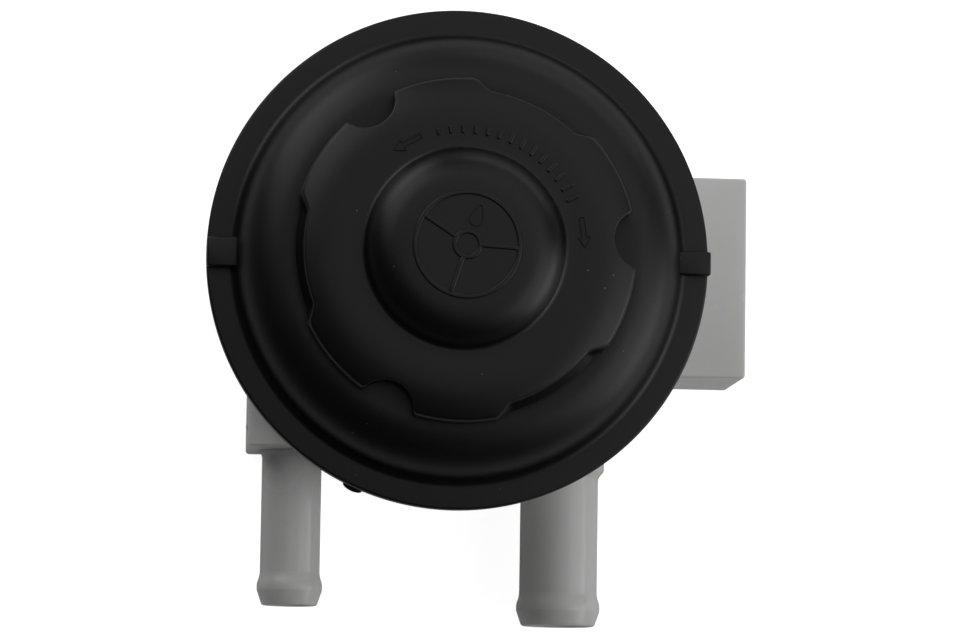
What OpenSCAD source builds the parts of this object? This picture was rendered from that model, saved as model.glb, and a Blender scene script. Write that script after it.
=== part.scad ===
// Power steering reservoir: a pale tank welded to a black cover, with a screw cap.
// Millimetres. The origin is the centre of the base, +Z points up to the cap and
// -Y is the side that the two hose nipples leave by.

/* [Flange] */
// How far the welded flange stands out past the cover's wall
flange_w = 5.5; // [4.5:0.25:7]
// Height of the flange's upper face above the base
flange_z = 92; // [86:1:110]
// Thickness of the cover's flange
cover_flange_t = 3; // [2:0.25:4]
// Thickness of the tank's flange
tank_flange_t = 2.6; // [2:0.2:4]
// How far the tank's flange stays inside the cover's flange
flange_step = 0.7; // [0.2:0.1:1.5]
// Height of the two locating tabs on the flange
tab_h = 1.7; // [1:0.1:3]
// Width of the left tab
left_tab_w = 5.8; // [3:0.2:8]
// Width of the right tab
right_tab_w = 4.6; // [3:0.2:8]
// How far the right tab stands out past the flange
tab_proud = 0.35; // [0.1:0.05:1]

/* [Tank] */
// How much smaller the tank's radius is at its base than under its flange
base_taper = 2.5; // [1:0.25:3]
// Wall thickness of the tank and the cover
wall_t = 2.4; // [2:0.1:2.8]
// Thickness of the tank's floor
floor_t = 2.6; // [2:0.1:4]
// Radius of the edge round the base
base_edge_r = 4; // [2:0.5:5]
// Width of the ribs inside the tank
rib_w = 2.4; // [1.6:0.2:3]
// Depth of the three short ribs that carry the filter
short_rib_d = 4; // [3:0.25:5]
// Depth of the three long ribs that carry the baffle
long_rib_d = 3; // [2:0.25:3.5]
// Height of the filter's seat above the base
filter_z = 40; // [32:1:46]
// Height of the level bars on the outside of the tank
level_bar_h = 1; // [0.6:0.1:2]
// Length of the level bars
level_bar_w = 16; // [10:1:24]
// How far the level bars stand out of the wall
level_bar_t = 0.6; // [0.3:0.1:1]
// Depth of the upper level bar below the flange's upper face
level_high_drop = 24; // [20:1:30]
// Depth of the lower level bar below the flange's upper face
level_low_drop = 38; // [34:1:42]

/* [Nipples] */
// Distance of each nipple's axis inside the tank's side at its base
nipple_inset = 12; // [11:0.1:12.5]
// Height of the nipples' axes above the base
nipple_z = 12; // [11:0.25:16]
// Outer radius of the supply nipple's tube
supply_r = 8.1; // [7:0.1:8.5]
// Radius of the supply nipple's hole
supply_bore_r = 6.2; // [5:0.1:6.4]
// How far the supply nipple's end stands out past the flange
supply_reach = 18.7; // [12:0.5:30]
// Thickness of the collar at the supply nipple's root
supply_collar_t = 1.2; // [0.6:0.1:2]
// How far the supply collar stands out of the tank
collar_reach = 7; // [5:0.25:10]
// Outer radius of the return nipple's tube
return_r = 6.2; // [5.8:0.1:7]
// Radius of the return nipple's hole
return_bore_r = 4.3; // [3.8:0.1:4.6]
// How far the return nipple's end stands out past the flange
return_reach = 15.4; // [8:0.5:28]
// How far a nipple's bead stands out of its tube
bead_t = 0.6; // [0.4:0.05:1]
// Length of a bead's cylindrical land
bead_land = 1.4; // [1.2:0.1:3]
// Half width of the square block at the return nipple's root
block_half_w = 9.4; // [8.5:0.1:10]
// How far the block stands out of the tank
block_reach = 2.7; // [1.5:0.1:4]
// Height of the block's top above the base
block_z = 24; // [22:0.5:30]

/* [Bracket] */
// How far the bracket's outer face stands out past the flange
bracket_reach = 11.7; // [10:0.1:18]
// Width of the bracket
bracket_w = 40; // [34:0.5:46]
// Distance of the bracket's middle from the X axis
bracket_y = 1.2; // [-2:0.1:2]
// Depth of the bracket's top below the flange's upper face
bracket_drop = 30; // [24:1:40]
// Height of the bracket from its open mouth to its top
bracket_h = 26; // [18:0.5:30]
// Thickness of the bracket's walls
bracket_wall = 2.4; // [1.8:0.1:2.6]
// Thickness of the bracket's middle web
web_t = 2; // [1.5:0.1:2.5]
// Width of the slot that takes the carrier's tongue
slot_t = 5.2; // [4.4:0.1:6]
// Radius of the bracket's upright outer edges
bracket_edge_r = 1.6; // [0.8:0.1:2.2]
// Width of the latch window in the outer wall
latch_w = 10; // [6:0.5:14]
// Height of the latch window
latch_h = 5; // [4:0.25:8]
// Height of the latch window above the bracket's mouth
latch_rise = 8; // [4:0.5:10]

/* [Cover] */
// Width of the cover's top from the step to its rounded shoulder
slope_w = 5.2; // [4:0.1:8]
// Height of the cover's shoulder above the flange
dome_h = 7.9; // [7:0.1:9.5]
// Radius of the cover's rounded shoulder
shoulder_r = 3.4; // [2.6:0.2:4]
// Rise of the cover's top from its shoulder to the step
dome_rise = 1.2; // [0.6:0.1:1.8]
// How far the raised step round the neck stands out past the cap
step_margin = 1.2; // [0.8:0.1:2]
// Height of the raised step
step_h = 0.8; // [0.4:0.1:1.2]
// Radius of the filler neck's bore
neck_bore_r = 23.5; // [23.2:0.1:24]
// Height of the neck above the step
neck_h = 3.2; // [2.6:0.1:3.6]
// Depth of the neck's skirt below the flange's upper face
neck_skirt = 4; // [2:0.5:5]

/* [Cap] */
// Gap between the neck and the cap's wall behind a finger notch
notch_gap = 0.6; // [0.4:0.1:1]
// Depth of the three finger notches in the cap's rim
notch_depth = 4.4; // [3.4:0.1:5]
// Depth of the three long hollows in the cap's rim
hollow_depth = 2.4; // [1.5:0.1:3]
// Gap between the cap's rim and the cover
cap_gap = 0.8; // [0.5:0.1:1.2]
// Height of the cap's upright rim
rim_h = 4.1; // [3.8:0.1:5]
// Rise of the cap's top from its rim to the flat ring
cap_rise = 2; // [1.4:0.1:2.6]
// Width of the cap's slope from its rim to the flat ring
cap_slope_w = 7.7; // [6.5:0.1:9]
// Width of the cap's flat ring round its raised middle
ring_w = 6.2; // [5.4:0.1:7.5]
// Height of the cap's raised middle above the flat ring
boss_h = 4.7; // [3.5:0.1:6]
// Radius of the rounded edge of the raised middle
boss_edge_r = 2.6; // [1.5:0.1:3]
// Thickness of the cap's walls
cap_wall = 1.8; // [1.4:0.1:1.9]
// Radius of the three finger notches
notch_r = 5.5; // [4.5:0.1:6]
// Half angle of the long hollows' flat bottoms
hollow_half_angle = 16; // [12:1:20]
// Rounding of the corners between lobes and notches
lobe_edge_r = 1.6; // [0.8:0.1:2]
// Angle of the first finger notch
notch_angle = 4.5; // [0:0.1:10]
// Room for the thread between the plug and the neck
thread_room = 1.3; // [1.1:0.1:1.7]
// Depth of the plug's end below the flange's upper face
plug_depth = 0.5; // [0:0.1:1.5]
// Wall thickness of the plug
plug_wall = 2.8; // [2.4:0.1:3]
// Thickness of the gasket under the cap
gasket_t = 1; // [0.8:0.1:1.2]

/* [Plug fittings] */
// Thickness of the disc that turns freely in the plug
disc_t = 2.4; // [2:0.1:3]
// Depth of the groove that holds the disc
groove_d = 1; // [0.8:0.1:1.3]
// Width of the dipstick's blade
blade_w = 6; // [4:0.25:7]
// Thickness of the dipstick's blade
blade_t = 1.8; // [1.4:0.1:2.2]
// Gap between the dipstick's tip and the filter's frame
tip_gap = 5; // [3:0.5:12]
// Radius of the vent's felt disc
felt_r = 5; // [4:0.1:5.5]
// Thickness of the vent's felt disc
felt_t = 1.6; // [1:0.1:2]

/* [Inside the tank] */
// Thickness of the filter's frame
frame_t = 3; // [2:0.25:4]
// Width of the filter frame's spokes
spoke_w = 2; // [1.5:0.1:3]
// Thickness of the filter's screen
screen_t = 0.6; // [0.4:0.1:1]
// Thickness of the baffle
baffle_t = 2; // [1.5:0.1:2.5]
// Distance of the baffle's underside below the tank's flange
baffle_drop = 4.4; // [4:0.2:6]
// Radius of the baffle's middle hole
baffle_hole_r = 9; // [7:0.5:12]
// Outer radius of the return standpipe
pipe_r = 5.2; // [4.9:0.1:5.5]
// Distance of the standpipe from the middle, towards the nipples
pipe_y = 12; // [9:0.25:13]
// Height of the standpipe's top above the filter's seat
pipe_rise = 13; // [10:1:20]
// Radius of the collector magnet
magnet_r = 9; // [6:0.5:10]
// Thickness of the collector magnet
magnet_t = 5; // [3:0.5:6]

/* [Hidden] */
$fn = 96;

// Colours of the materials
natural = [0.72, 0.74, 0.68];
black = [0.06, 0.06, 0.07];
rubber = [0.03, 0.03, 0.03];
white = [0.86, 0.86, 0.84];
grey = [0.3, 0.31, 0.33];
ferrite = [0.2, 0.19, 0.19];

// Clearances: eps only makes cuts run past the faces that they open
eps = 0.1;
slip = 0.2;
seat = 0.3;
loose = 0.4;

// Radii that follow from the neck outward
neck_r = neck_bore_r + wall_t;
plug_r = neck_bore_r - thread_room;
notch_bottom_r = neck_r + notch_gap + cap_wall;
cap_r = notch_bottom_r + notch_depth;
hollow_bottom_r = cap_r - hollow_depth;
ring_r = cap_r - cap_slope_w;
boss_r = ring_r - ring_w;
step_r = cap_r + step_margin;
dome_r = step_r + slope_w + shoulder_r;
tank_r = dome_r;
tank_base_r = tank_r - base_taper;
flange_r = dome_r + flange_w;

// Places of the nipples and the bracket
nipple_x = tank_base_r - nipple_inset;
root_y = sqrt(pow(tank_base_r, 2) - pow(nipple_x, 2));
supply_end = flange_r + supply_reach;
supply_collar_r = supply_r + supply_collar_t;
supply_collar_end = root_y + collar_reach;
return_end = flange_r + return_reach;
block_end = root_y + block_reach;
bracket_x = flange_r + bracket_reach;
bracket_z = flange_z - bracket_drop;
bracket_low_z = bracket_z - bracket_h;
slot_x = bracket_x - bracket_wall - slot_t;

// Heights that follow from the driving dimensions
level_high_z = flange_z - level_high_drop;
level_low_z = flange_z - level_low_drop;
blade_tip_z = filter_z + frame_t + tip_gap;
pipe_top_z = filter_z + pipe_rise;
weld_z = flange_z - cover_flange_t;
under_flange_z = weld_z - tank_flange_t;
shoulder_z = flange_z + dome_h;
slope_top_z = shoulder_z + dome_rise;
step_z = slope_top_z + step_h;
neck_top_z = step_z + neck_h;
rim_z = step_z + cap_gap;
rim_top_z = rim_z + rim_h;
ring_z = rim_top_z + cap_rise;
boss_z = ring_z + boss_h;
ceiling_z = neck_top_z + gasket_t;
plug_end_z = flange_z - plug_depth;
groove_lip_h = 1;
disc_z = plug_end_z + groove_lip_h + seat;
baffle_z = under_flange_z - baffle_drop;

// Inner radius of the tank at a height
tank_draft = (tank_r - tank_base_r) / under_flange_z;
function tank_inner_r(z) = tank_base_r - wall_t + tank_draft * z;

// Points of an arc in the profile plane, from angle a0 to angle a1
arc_steps = 6;
function arc(x, z, r, a0, a1) =
    [for (i = [0:arc_steps])
        let (a = a0 + (a1 - a0) * i / arc_steps)
            [x + r * cos(a), z + r * sin(a)]];
function polar(r, a) = [r * cos(a), r * sin(a)];

// Places of what stands inside the tank and on the cap's disc
thirds = [0, 120, 240];
short_rib_angles = thirds;
long_rib_angles = [60, 180, 300];
magnet_y = -14;
felt_wall = 1;
felt_seat_r = felt_r + slip + felt_wall;
felt_place_y = plug_r - plug_wall - felt_seat_r - loose;

module copies(angles) {
    for (a = angles) rotate([0, 0, a]) children();
}

// Tank: one moulding with its nipples, block, bracket and flange

module tank_outside() {
    rotate_extrude()
        polygon(concat(
            [[0, 0]],
            arc(tank_base_r - base_edge_r, base_edge_r, base_edge_r, -90, 0),
            [[tank_r, under_flange_z],
             [flange_r - flange_step, under_flange_z],
             [flange_r - flange_step, weld_z],
             [0, weld_z]]));
}

module tank_inside() {
    inner_edge_r = base_edge_r - wall_t / 2;
    rotate_extrude()
        polygon(concat(
            [[0, floor_t]],
            arc(tank_inner_r(floor_t) - inner_edge_r, floor_t + inner_edge_r, inner_edge_r, -90, 0),
            [[tank_inner_r(weld_z), weld_z + eps],
             [0, weld_z + eps]]));
}

// A barbed nipple along +Z, from the middle of the tank out to its end
module nipple(r, end) {
    lead = 3.2;
    ramp = 1.6;
    end_edge = 0.6;
    taper = 0.6;
    end_r = r - taper;
    rotate_extrude()
        polygon([[0, 0],
                 [r, 0],
                 [r, end - lead - bead_land - ramp],
                 [r + bead_t, end - lead - bead_land],
                 [r + bead_t, end - lead],
                 [end_r, end - end_edge],
                 [end_r - end_edge, end],
                 [0, end]]);
}

module along_nipple(side) {
    translate([side * nipple_x, 0, nipple_z]) rotate([90, 0, 0]) children();
}

module supply_collar() {
    chamfer = supply_collar_r - supply_r;
    cylinder(r = supply_collar_r, h = supply_collar_end - chamfer);
    translate([0, 0, supply_collar_end - chamfer])
        cylinder(r1 = supply_collar_r, r2 = supply_r, h = chamfer);
}

module return_block() {
    block_low_z = 1;
    sunk_d = 15;
    translate([-nipple_x - block_half_w, -block_end, block_low_z])
        cube([2 * block_half_w, block_reach + sunk_d, block_z - block_low_z]);
}

// Bracket: a box with a closed top that slides down over an upright tongue

module bracket_outside() {
    start_x = tank_base_r - wall_t;
    edge_x = bracket_x - bracket_edge_r;
    half_w = bracket_w / 2;
    translate([0, bracket_y, bracket_low_z]) {
        translate([start_x, -half_w, 0]) cube([edge_x - start_x, bracket_w, bracket_h]);
        translate([start_x, -half_w + bracket_edge_r, 0])
            cube([bracket_x - start_x, bracket_w - 2 * bracket_edge_r, bracket_h]);
        for (side = [-1, 1])
            translate([edge_x, side * (half_w - bracket_edge_r), 0])
                cylinder(r = bracket_edge_r, h = bracket_h);
    }
}

module bracket_pockets() {
    pocket_h = bracket_h - bracket_wall;
    inner_w = bracket_w - 2 * bracket_wall;
    relief_w = (inner_w - web_t) / 2;
    relief_x = tank_base_r - wall_t;
    translate([slot_x, bracket_y - inner_w / 2, bracket_low_z - eps])
        cube([slot_t, inner_w, pocket_h + eps]);
    for (side = [-1, 1])
        difference() {
            translate([relief_x, bracket_y + side * (web_t + relief_w) / 2 - relief_w / 2,
                       bracket_low_z - eps])
                cube([slot_x - web_t - relief_x, relief_w, pocket_h + eps]);
            tank_outside();
        }
    translate([bracket_x - bracket_wall - eps, bracket_y - latch_w / 2, bracket_low_z + latch_rise])
        cube([bracket_wall + 2 * eps, latch_w, latch_h]);
}

module ribs() {
    intersection() {
        union() {
            copies(short_rib_angles)
                translate([tank_inner_r(filter_z) - short_rib_d, -rib_w / 2, floor_t / 2])
                    cube([short_rib_d + wall_t / 2, rib_w, filter_z - floor_t / 2]);
            copies(long_rib_angles)
                translate([tank_inner_r(baffle_z) - long_rib_d, -rib_w / 2, floor_t / 2])
                    cube([long_rib_d + wall_t / 2, rib_w, baffle_z - floor_t / 2]);
        }
        tank_outside();
    }
}

module magnet_posts() {
    post_r = 1.6;
    post_extra_h = 1.5;
    translate([0, magnet_y, 0])
        rotate([0, 0, 90])
            copies(thirds)
                translate([magnet_r + seat + post_r, 0, floor_t / 2])
                    cylinder(r = post_r, h = floor_t / 2 + magnet_t + post_extra_h);
}

// Two plain bars on the outside of the tank show the highest and lowest level
module level_bars() {
    for (z = [level_low_z, level_high_z])
        intersection() {
            translate([-level_bar_w / 2, -tank_r - level_bar_t, z - level_bar_h / 2])
                cube([level_bar_w, tank_r, level_bar_h]);
            cylinder(r = tank_base_r + tank_draft * z + level_bar_t, h = flange_z);
        }
}

module lower_shell() {
    color(natural) {
        difference() {
            union() {
                tank_outside();
                return_block();
                bracket_outside();
                level_bars();
                along_nipple(1) nipple(supply_r, supply_end);
                along_nipple(1) supply_collar();
                along_nipple(-1) nipple(return_r, return_end);
            }
            tank_inside();
            bracket_pockets();
            along_nipple(1) cylinder(r = supply_bore_r, h = supply_end + eps);
            along_nipple(-1) cylinder(r = return_bore_r, h = return_end + eps);
        }
        ribs();
        magnet_posts();
    }
}

// Cover: flange, dome and filler neck in one moulding

module cover_profile() {
    foot_r = 0.8;
    step_edge = 0.4;
    neck_edge = 0.5;
    top_in_z = step_z - wall_t;
    inner_r = dome_r - wall_t;
    inner_edge_r = shoulder_r - wall_t / 2;
    inner_shoulder_z = shoulder_z - wall_t;
    polygon(concat(
        [[inner_r, weld_z],
         [flange_r, weld_z],
         [flange_r, flange_z],
         [dome_r + foot_r, flange_z],
         [dome_r, flange_z + foot_r]],
        arc(dome_r - shoulder_r, shoulder_z - shoulder_r, shoulder_r, 0, 90),
        [[step_r, slope_top_z],
         [step_r - step_edge, step_z],
         [neck_r, step_z],
         [neck_r, neck_top_z - neck_edge],
         [neck_r - neck_edge, neck_top_z],
         [neck_bore_r, neck_top_z],
         [neck_bore_r, flange_z - neck_skirt],
         [neck_r, flange_z - neck_skirt],
         [neck_r, top_in_z],
         [step_r - wall_t, top_in_z]],
        arc(inner_r - inner_edge_r, inner_shoulder_z - inner_edge_r, inner_edge_r, 90, 0)));
}

// A tab on the flange, from the dome's wall to just inside or past the rim
module flange_tab(w, reach) {
    start_r = dome_r - wall_t / 2;
    translate([start_r, -w / 2, flange_z - eps])
        cube([reach - start_r, w, tab_h + eps]);
}

// The flange's edge bulges out beside the right tab
module tab_bulge() {
    bulge_w = right_tab_w + 1.6;
    translate([flange_r - cover_flange_t, -bulge_w / 2, weld_z])
        cube([cover_flange_t + tab_proud, bulge_w, cover_flange_t]);
}

// Three legs under the dome hold the baffle down on its ribs
module hold_down_legs() {
    leg_w = 3;
    leg_t = 2;
    leg_r = tank_inner_r(baffle_z) - leg_w;
    leg_z = baffle_z + baffle_t + seat;
    copies(long_rib_angles)
        translate([leg_r - leg_w, -leg_t / 2, leg_z])
            cube([leg_w, leg_t, shoulder_z - wall_t / 2 - leg_z]);
}

module upper_shell() {
    color(black) {
        rotate_extrude() cover_profile();
        rotate([0, 0, 180]) flange_tab(left_tab_w, flange_r);
        flange_tab(right_tab_w, flange_r + tab_proud);
        tab_bulge();
        hold_down_legs();
    }
}

// Cap: a lobed cover with a plug; the fine thread is left off both

module finger_notch() {
    translate([notch_bottom_r + notch_r, 0]) circle(r = notch_r);
}

module long_hollow() {
    ramp = 10;
    ramp_angle = hollow_half_angle + ramp;
    inside_r = hollow_bottom_r - 1;
    past_r = cap_r + notch_depth / 2;
    far_r = 1.4 * cap_r;
    difference() {
        polygon([polar(inside_r, -hollow_half_angle), polar(past_r, -ramp_angle),
                 polar(far_r, -hollow_half_angle), polar(far_r, hollow_half_angle),
                 polar(past_r, ramp_angle), polar(inside_r, hollow_half_angle)]);
        circle(r = hollow_bottom_r);
    }
}

// The cap seen from above: six lobes, three finger notches and three long hollows
module cap_outline() {
    edge_steps = 24;
    offset(r = lobe_edge_r, $fn = edge_steps) offset(r = -2 * lobe_edge_r, $fn = edge_steps)
        offset(r = lobe_edge_r, $fn = edge_steps)
            difference() {
                circle(r = cap_r);
                rotate([0, 0, notch_angle]) copies(thirds) finger_notch();
                rotate([0, 0, notch_angle + 60]) copies(thirds) long_hollow();
            }
}

module cap_top() {
    rim_edge_r = 1;
    rim_edge_end_a = 80;
    boss_edge_start_a = 5;
    boss_edge_end_a = 85;
    foot = 0.9;
    rotate_extrude()
        polygon(concat(
            [[0, rim_z],
             [cap_r, rim_z]],
            arc(cap_r - rim_edge_r, rim_top_z - rim_edge_r, rim_edge_r, 0, rim_edge_end_a),
            [[ring_r, ring_z],
             [boss_r + foot, ring_z],
             [boss_r, ring_z + foot]],
            arc(boss_r - boss_edge_r, boss_z - boss_edge_r, boss_edge_r, boss_edge_start_a, boss_edge_end_a),
            [[0, boss_z]]));
}

// The hollow between the cap's rim and its plug
module cap_hollow() {
    hollow_r = notch_bottom_r - cap_wall;
    outer_ceiling_z = rim_top_z - cap_wall;
    intersection() {
        translate([0, 0, rim_z - eps])
            linear_extrude(height = boss_z - rim_z) offset(delta = -cap_wall) cap_outline();
        rotate_extrude()
            polygon([[plug_r, rim_z - eps],
                     [cap_r, rim_z - eps],
                     [cap_r, outer_ceiling_z],
                     [hollow_r, ceiling_z],
                     [plug_r, ceiling_z]]);
    }
}

// The hollow inside the plug and the raised middle, with the groove for the disc
module plug_hollow() {
    boss_wall = 2.6;
    inner_r = plug_r - plug_wall;
    groove_z = disc_z - seat;
    rotate_extrude()
        polygon([[0, plug_end_z - eps],
                 [inner_r, plug_end_z - eps],
                 [inner_r, groove_z],
                 [inner_r + groove_d, groove_z],
                 [inner_r + groove_d, groove_z + disc_t + 2 * seat],
                 [inner_r, groove_z + disc_t + 2 * seat],
                 [inner_r, ceiling_z],
                 [boss_r - boss_wall, ceiling_z],
                 [boss_r - boss_wall, boss_z - boss_wall],
                 [0, boss_z - boss_wall]]);
}

module cap_shell() {
    color(black)
        difference() {
            union() {
                difference() {
                    intersection() {
                        translate([0, 0, rim_z])
                            linear_extrude(height = boss_z - rim_z) cap_outline();
                        cap_top();
                    }
                    cap_hollow();
                }
                translate([0, 0, plug_end_z])
                    cylinder(r = plug_r, h = ceiling_z - plug_end_z + eps);
            }
            plug_hollow();
        }
}

module cap_gasket() {
    color(rubber)
        translate([0, 0, neck_top_z])
            difference() {
                cylinder(r = neck_r - slip, h = gasket_t);
                translate([0, 0, -eps]) cylinder(r = plug_r + slip, h = gasket_t + 2 * eps);
            }
}

// Fittings on the plug: they rise with the cap and don't turn

module cap_liner() {
    disc_r = plug_r - plug_wall + groove_d - seat;
    hole_r = 0.9;
    hole_place_r = 2.4;
    color(grey)
        difference() {
            union() {
                translate([0, 0, disc_z]) cylinder(r = disc_r, h = disc_t);
                translate([0, felt_place_y, disc_z + disc_t - eps])
                    cylinder(r = felt_seat_r, h = felt_t + eps);
            }
            translate([0, felt_place_y, disc_z + disc_t])
                cylinder(r = felt_r + slip, h = felt_t + eps);
            translate([0, felt_place_y, disc_z - eps])
                copies(thirds)
                    translate([hole_place_r, 0, 0]) cylinder(r = hole_r, h = disc_t + 2 * eps);
            translate([-blade_w / 2 - slip, -blade_t / 2 - slip, disc_z - eps])
                cube([blade_w + 2 * slip, blade_t + 2 * slip, disc_t + 2 * eps]);
        }
}

module vent_felt() {
    color(white)
        translate([0, felt_place_y, disc_z + disc_t]) cylinder(r = felt_r, h = felt_t);
}

// The dipstick hangs by its head, with a notch at each step between the two levels
module dipstick() {
    head_ledge = 1.5;
    head_w = blade_w + 2 * head_ledge;
    head_d = blade_t + 2 * head_ledge;
    head_t = 1.8;
    mark_depth = 0.5;
    mark_h = 0.8;
    mark_count = 6;
    mark_step = (level_high_z - level_low_z) / (mark_count - 1);
    head_z = disc_z + disc_t;
    color(white) {
        difference() {
            translate([-blade_w / 2, -blade_t / 2, blade_tip_z])
                cube([blade_w, blade_t, head_z - blade_tip_z + eps]);
            for (i = [0:mark_count - 1], side = [-1, 1])
                translate([-blade_w / 2 - eps, side * blade_t / 2 - mark_depth / 2,
                           level_low_z + i * mark_step])
                    cube([blade_w + 2 * eps, mark_depth, mark_h]);
        }
        translate([-head_w / 2, -head_d / 2, head_z]) cube([head_w, head_d, head_t]);
    }
}

// Pieces inside the tank

module baffle_plate() {
    disc_r = tank_inner_r(baffle_z) - loose;
    hole_r = 3;
    hole_place_r = 24;
    hole_count = 10;
    lip_h = 1.6;
    color(natural)
        difference() {
            union() {
                translate([0, 0, baffle_z]) cylinder(r = disc_r, h = baffle_t);
                translate([0, 0, baffle_z - lip_h])
                    cylinder(r = baffle_hole_r + baffle_t, h = lip_h + eps);
            }
            translate([0, 0, baffle_z - lip_h - eps])
                cylinder(r = baffle_hole_r, h = lip_h + baffle_t + 2 * eps);
            copies([for (i = [0:hole_count - 1]) 360 * i / hole_count])
                translate([hole_place_r, 0, baffle_z - eps])
                    cylinder(r = hole_r, h = baffle_t + 2 * eps);
        }
}

frame_r = tank_inner_r(filter_z) - loose;
frame_rim_w = 5.6;

module at_pipe() {
    translate([-nipple_x, -pipe_y, 0]) children();
}

module filter_frame() {
    hub_r = 5;
    collar_t = 1.8;
    bar_angles = [30, 90, 150];
    bar_l = 2 * frame_r - frame_rim_w;
    cut_d = long_rib_d + wall_t;
    color(grey)
        translate([0, 0, filter_z])
            linear_extrude(height = frame_t)
                difference() {
                    union() {
                        difference() {
                            circle(r = frame_r);
                            circle(r = frame_r - frame_rim_w);
                        }
                        circle(r = hub_r);
                        copies(bar_angles) square([bar_l, spoke_w], center = true);
                        at_pipe() circle(r = pipe_r + seat + collar_t);
                    }
                    at_pipe() circle(r = pipe_r + seat);
                    copies(long_rib_angles)
                        translate([tank_inner_r(baffle_z) - long_rib_d - loose, -rib_w / 2 - loose])
                            square([cut_d, rib_w + 2 * loose]);
                }
}

module filter_screen() {
    // How far the screen lies on the frame's rim
    screen_lap = 2.4;
    screen_r = frame_r - frame_rim_w + screen_lap;
    color(white)
        translate([0, 0, filter_z + frame_t])
            difference() {
                cylinder(r = screen_r, h = screen_t);
                at_pipe() translate([0, 0, -eps]) cylinder(r = pipe_r + seat, h = screen_t + 2 * eps);
            }
}

// The standpipe lifts the returning fluid above the filter
module return_standpipe() {
    pipe_wall = 1.6;
    spigot_r = return_bore_r - slip;
    spigot_wall = 1.2;
    spigot_end = 34;
    outlet_r = 1.9;
    outlet_z = pipe_top_z - pipe_wall - outlet_r - 1;
    color(natural)
        difference() {
            union() {
                at_pipe() translate([0, 0, floor_t]) cylinder(r = pipe_r, h = pipe_top_z - floor_t);
                along_nipple(-1) translate([0, 0, pipe_y]) cylinder(r = spigot_r, h = spigot_end - pipe_y);
            }
            at_pipe() translate([0, 0, floor_t + pipe_wall])
                cylinder(r = pipe_r - pipe_wall, h = pipe_top_z - floor_t - 2 * pipe_wall);
            along_nipple(-1) translate([0, 0, pipe_y])
                cylinder(r = spigot_r - spigot_wall, h = spigot_end - pipe_y + eps);
            at_pipe() translate([0, 0, outlet_z])
                for (a = [0, 90])
                    rotate([90, 0, a]) translate([0, 0, -pipe_r - eps])
                        cylinder(r = outlet_r, h = 2 * (pipe_r + eps));
        }
}

module collector_magnet() {
    hole_r = 2.5;
    color(ferrite)
        translate([0, magnet_y, floor_t])
            difference() {
                cylinder(r = magnet_r, h = magnet_t);
                translate([0, 0, -eps]) cylinder(r = hole_r, h = magnet_t + 2 * eps);
            }
}

lower_shell();
upper_shell();
cap_shell();
cap_gasket();
cap_liner();
vent_felt();
dipstick();
baffle_plate();
filter_frame();
filter_screen();
return_standpipe();
collector_magnet();
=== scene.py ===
import math

import bmesh
import bpy
from mathutils import Matrix, Vector


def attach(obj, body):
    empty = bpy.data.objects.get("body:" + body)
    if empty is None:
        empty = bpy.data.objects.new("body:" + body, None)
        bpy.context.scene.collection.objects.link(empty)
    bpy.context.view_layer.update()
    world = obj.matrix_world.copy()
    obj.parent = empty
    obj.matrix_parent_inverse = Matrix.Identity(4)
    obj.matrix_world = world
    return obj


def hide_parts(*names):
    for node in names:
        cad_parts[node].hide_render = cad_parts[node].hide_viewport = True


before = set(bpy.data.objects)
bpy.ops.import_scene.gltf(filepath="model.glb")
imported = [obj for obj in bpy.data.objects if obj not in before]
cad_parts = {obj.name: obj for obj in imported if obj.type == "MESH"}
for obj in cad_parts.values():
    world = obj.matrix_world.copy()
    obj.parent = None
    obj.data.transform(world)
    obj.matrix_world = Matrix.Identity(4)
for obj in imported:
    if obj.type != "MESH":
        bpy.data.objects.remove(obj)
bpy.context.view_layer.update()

# Sizes in metres, in the part's own frame: the base lies on z = 0 and the cap is at the top
MM = 0.001
FLANGE_R = 48 * MM
FLANGE_Z = 92 * MM
COVER_FLANGE_T = 3 * MM
TANK_FLANGE_T = 2.6 * MM
FLANGE_STEP = 0.7 * MM
WELD_Z = FLANGE_Z - COVER_FLANGE_T
UNDER_FLANGE_Z = WELD_Z - TANK_FLANGE_T
TANK_R = 42.5 * MM
TANK_BASE_R = 40 * MM
WALL = 2.4 * MM
FLOOR = 2.6 * MM
DOME_R = 42.5 * MM
DOME_FOOT_R = DOME_R + 0.8 * MM
DOME_TOP_R = 32 * MM
DOME_Z = FLANGE_Z + 9.9 * MM
NECK_BORE_R = 23.5 * MM
NECK_R = NECK_BORE_R + WALL
NECK_TOP_Z = DOME_Z + 3.2 * MM
CAP_R = 32.7 * MM
RIM_Z = DOME_Z + 0.8 * MM
RIM_TOP_Z = RIM_Z + 4.1 * MM
RING_R = 23 * MM
RING_DROP = 2 * MM
RING_Z = RIM_TOP_Z + RING_DROP
BOSS_R = 19 * MM
BOSS_H = 4.7 * MM
BOSS_Z = RING_Z + BOSS_H
CEILING_Z = NECK_TOP_Z + 1 * MM
PLUG_R = 22.2 * MM
PLUG_WALL = 2.8 * MM
PLUG_END_Z = FLANGE_Z - 0.5 * MM
THREAD_LEAD = 4 * MM
NIPPLE_X = 28 * MM
NIPPLE_Z = 12 * MM
BRACKET_X = 59.7 * MM
BRACKET_Y = 1.2 * MM
BRACKET_W = 40 * MM
BRACKET_LOW_Z = 36 * MM
BRACKET_Z = 62 * MM
BRACKET_WALL = 2.4 * MM
SLOT_T = 5.2 * MM
THREAD_TURNS = 1.6
NECK_THREAD_CREST_R = 22.65 * MM
NECK_THREAD_Z = 96.2 * MM
PLUG_THREAD_CREST_R = 23 * MM
PLUG_THREAD_Z = 94.2 * MM
THREAD_SUNK = 0.2 * MM
SUPPLY_R = 8.1 * MM
SUPPLY_BORE_R = 6.2 * MM
SUPPLY_END = 66.7 * MM
RETURN_R = 6.2 * MM
RETURN_BORE_R = 4.3 * MM
RETURN_END = 63.4 * MM
BLOCK_END = 31.3 * MM
BLOCK_HALF_W = 9.4 * MM


# Mesh helpers

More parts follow.
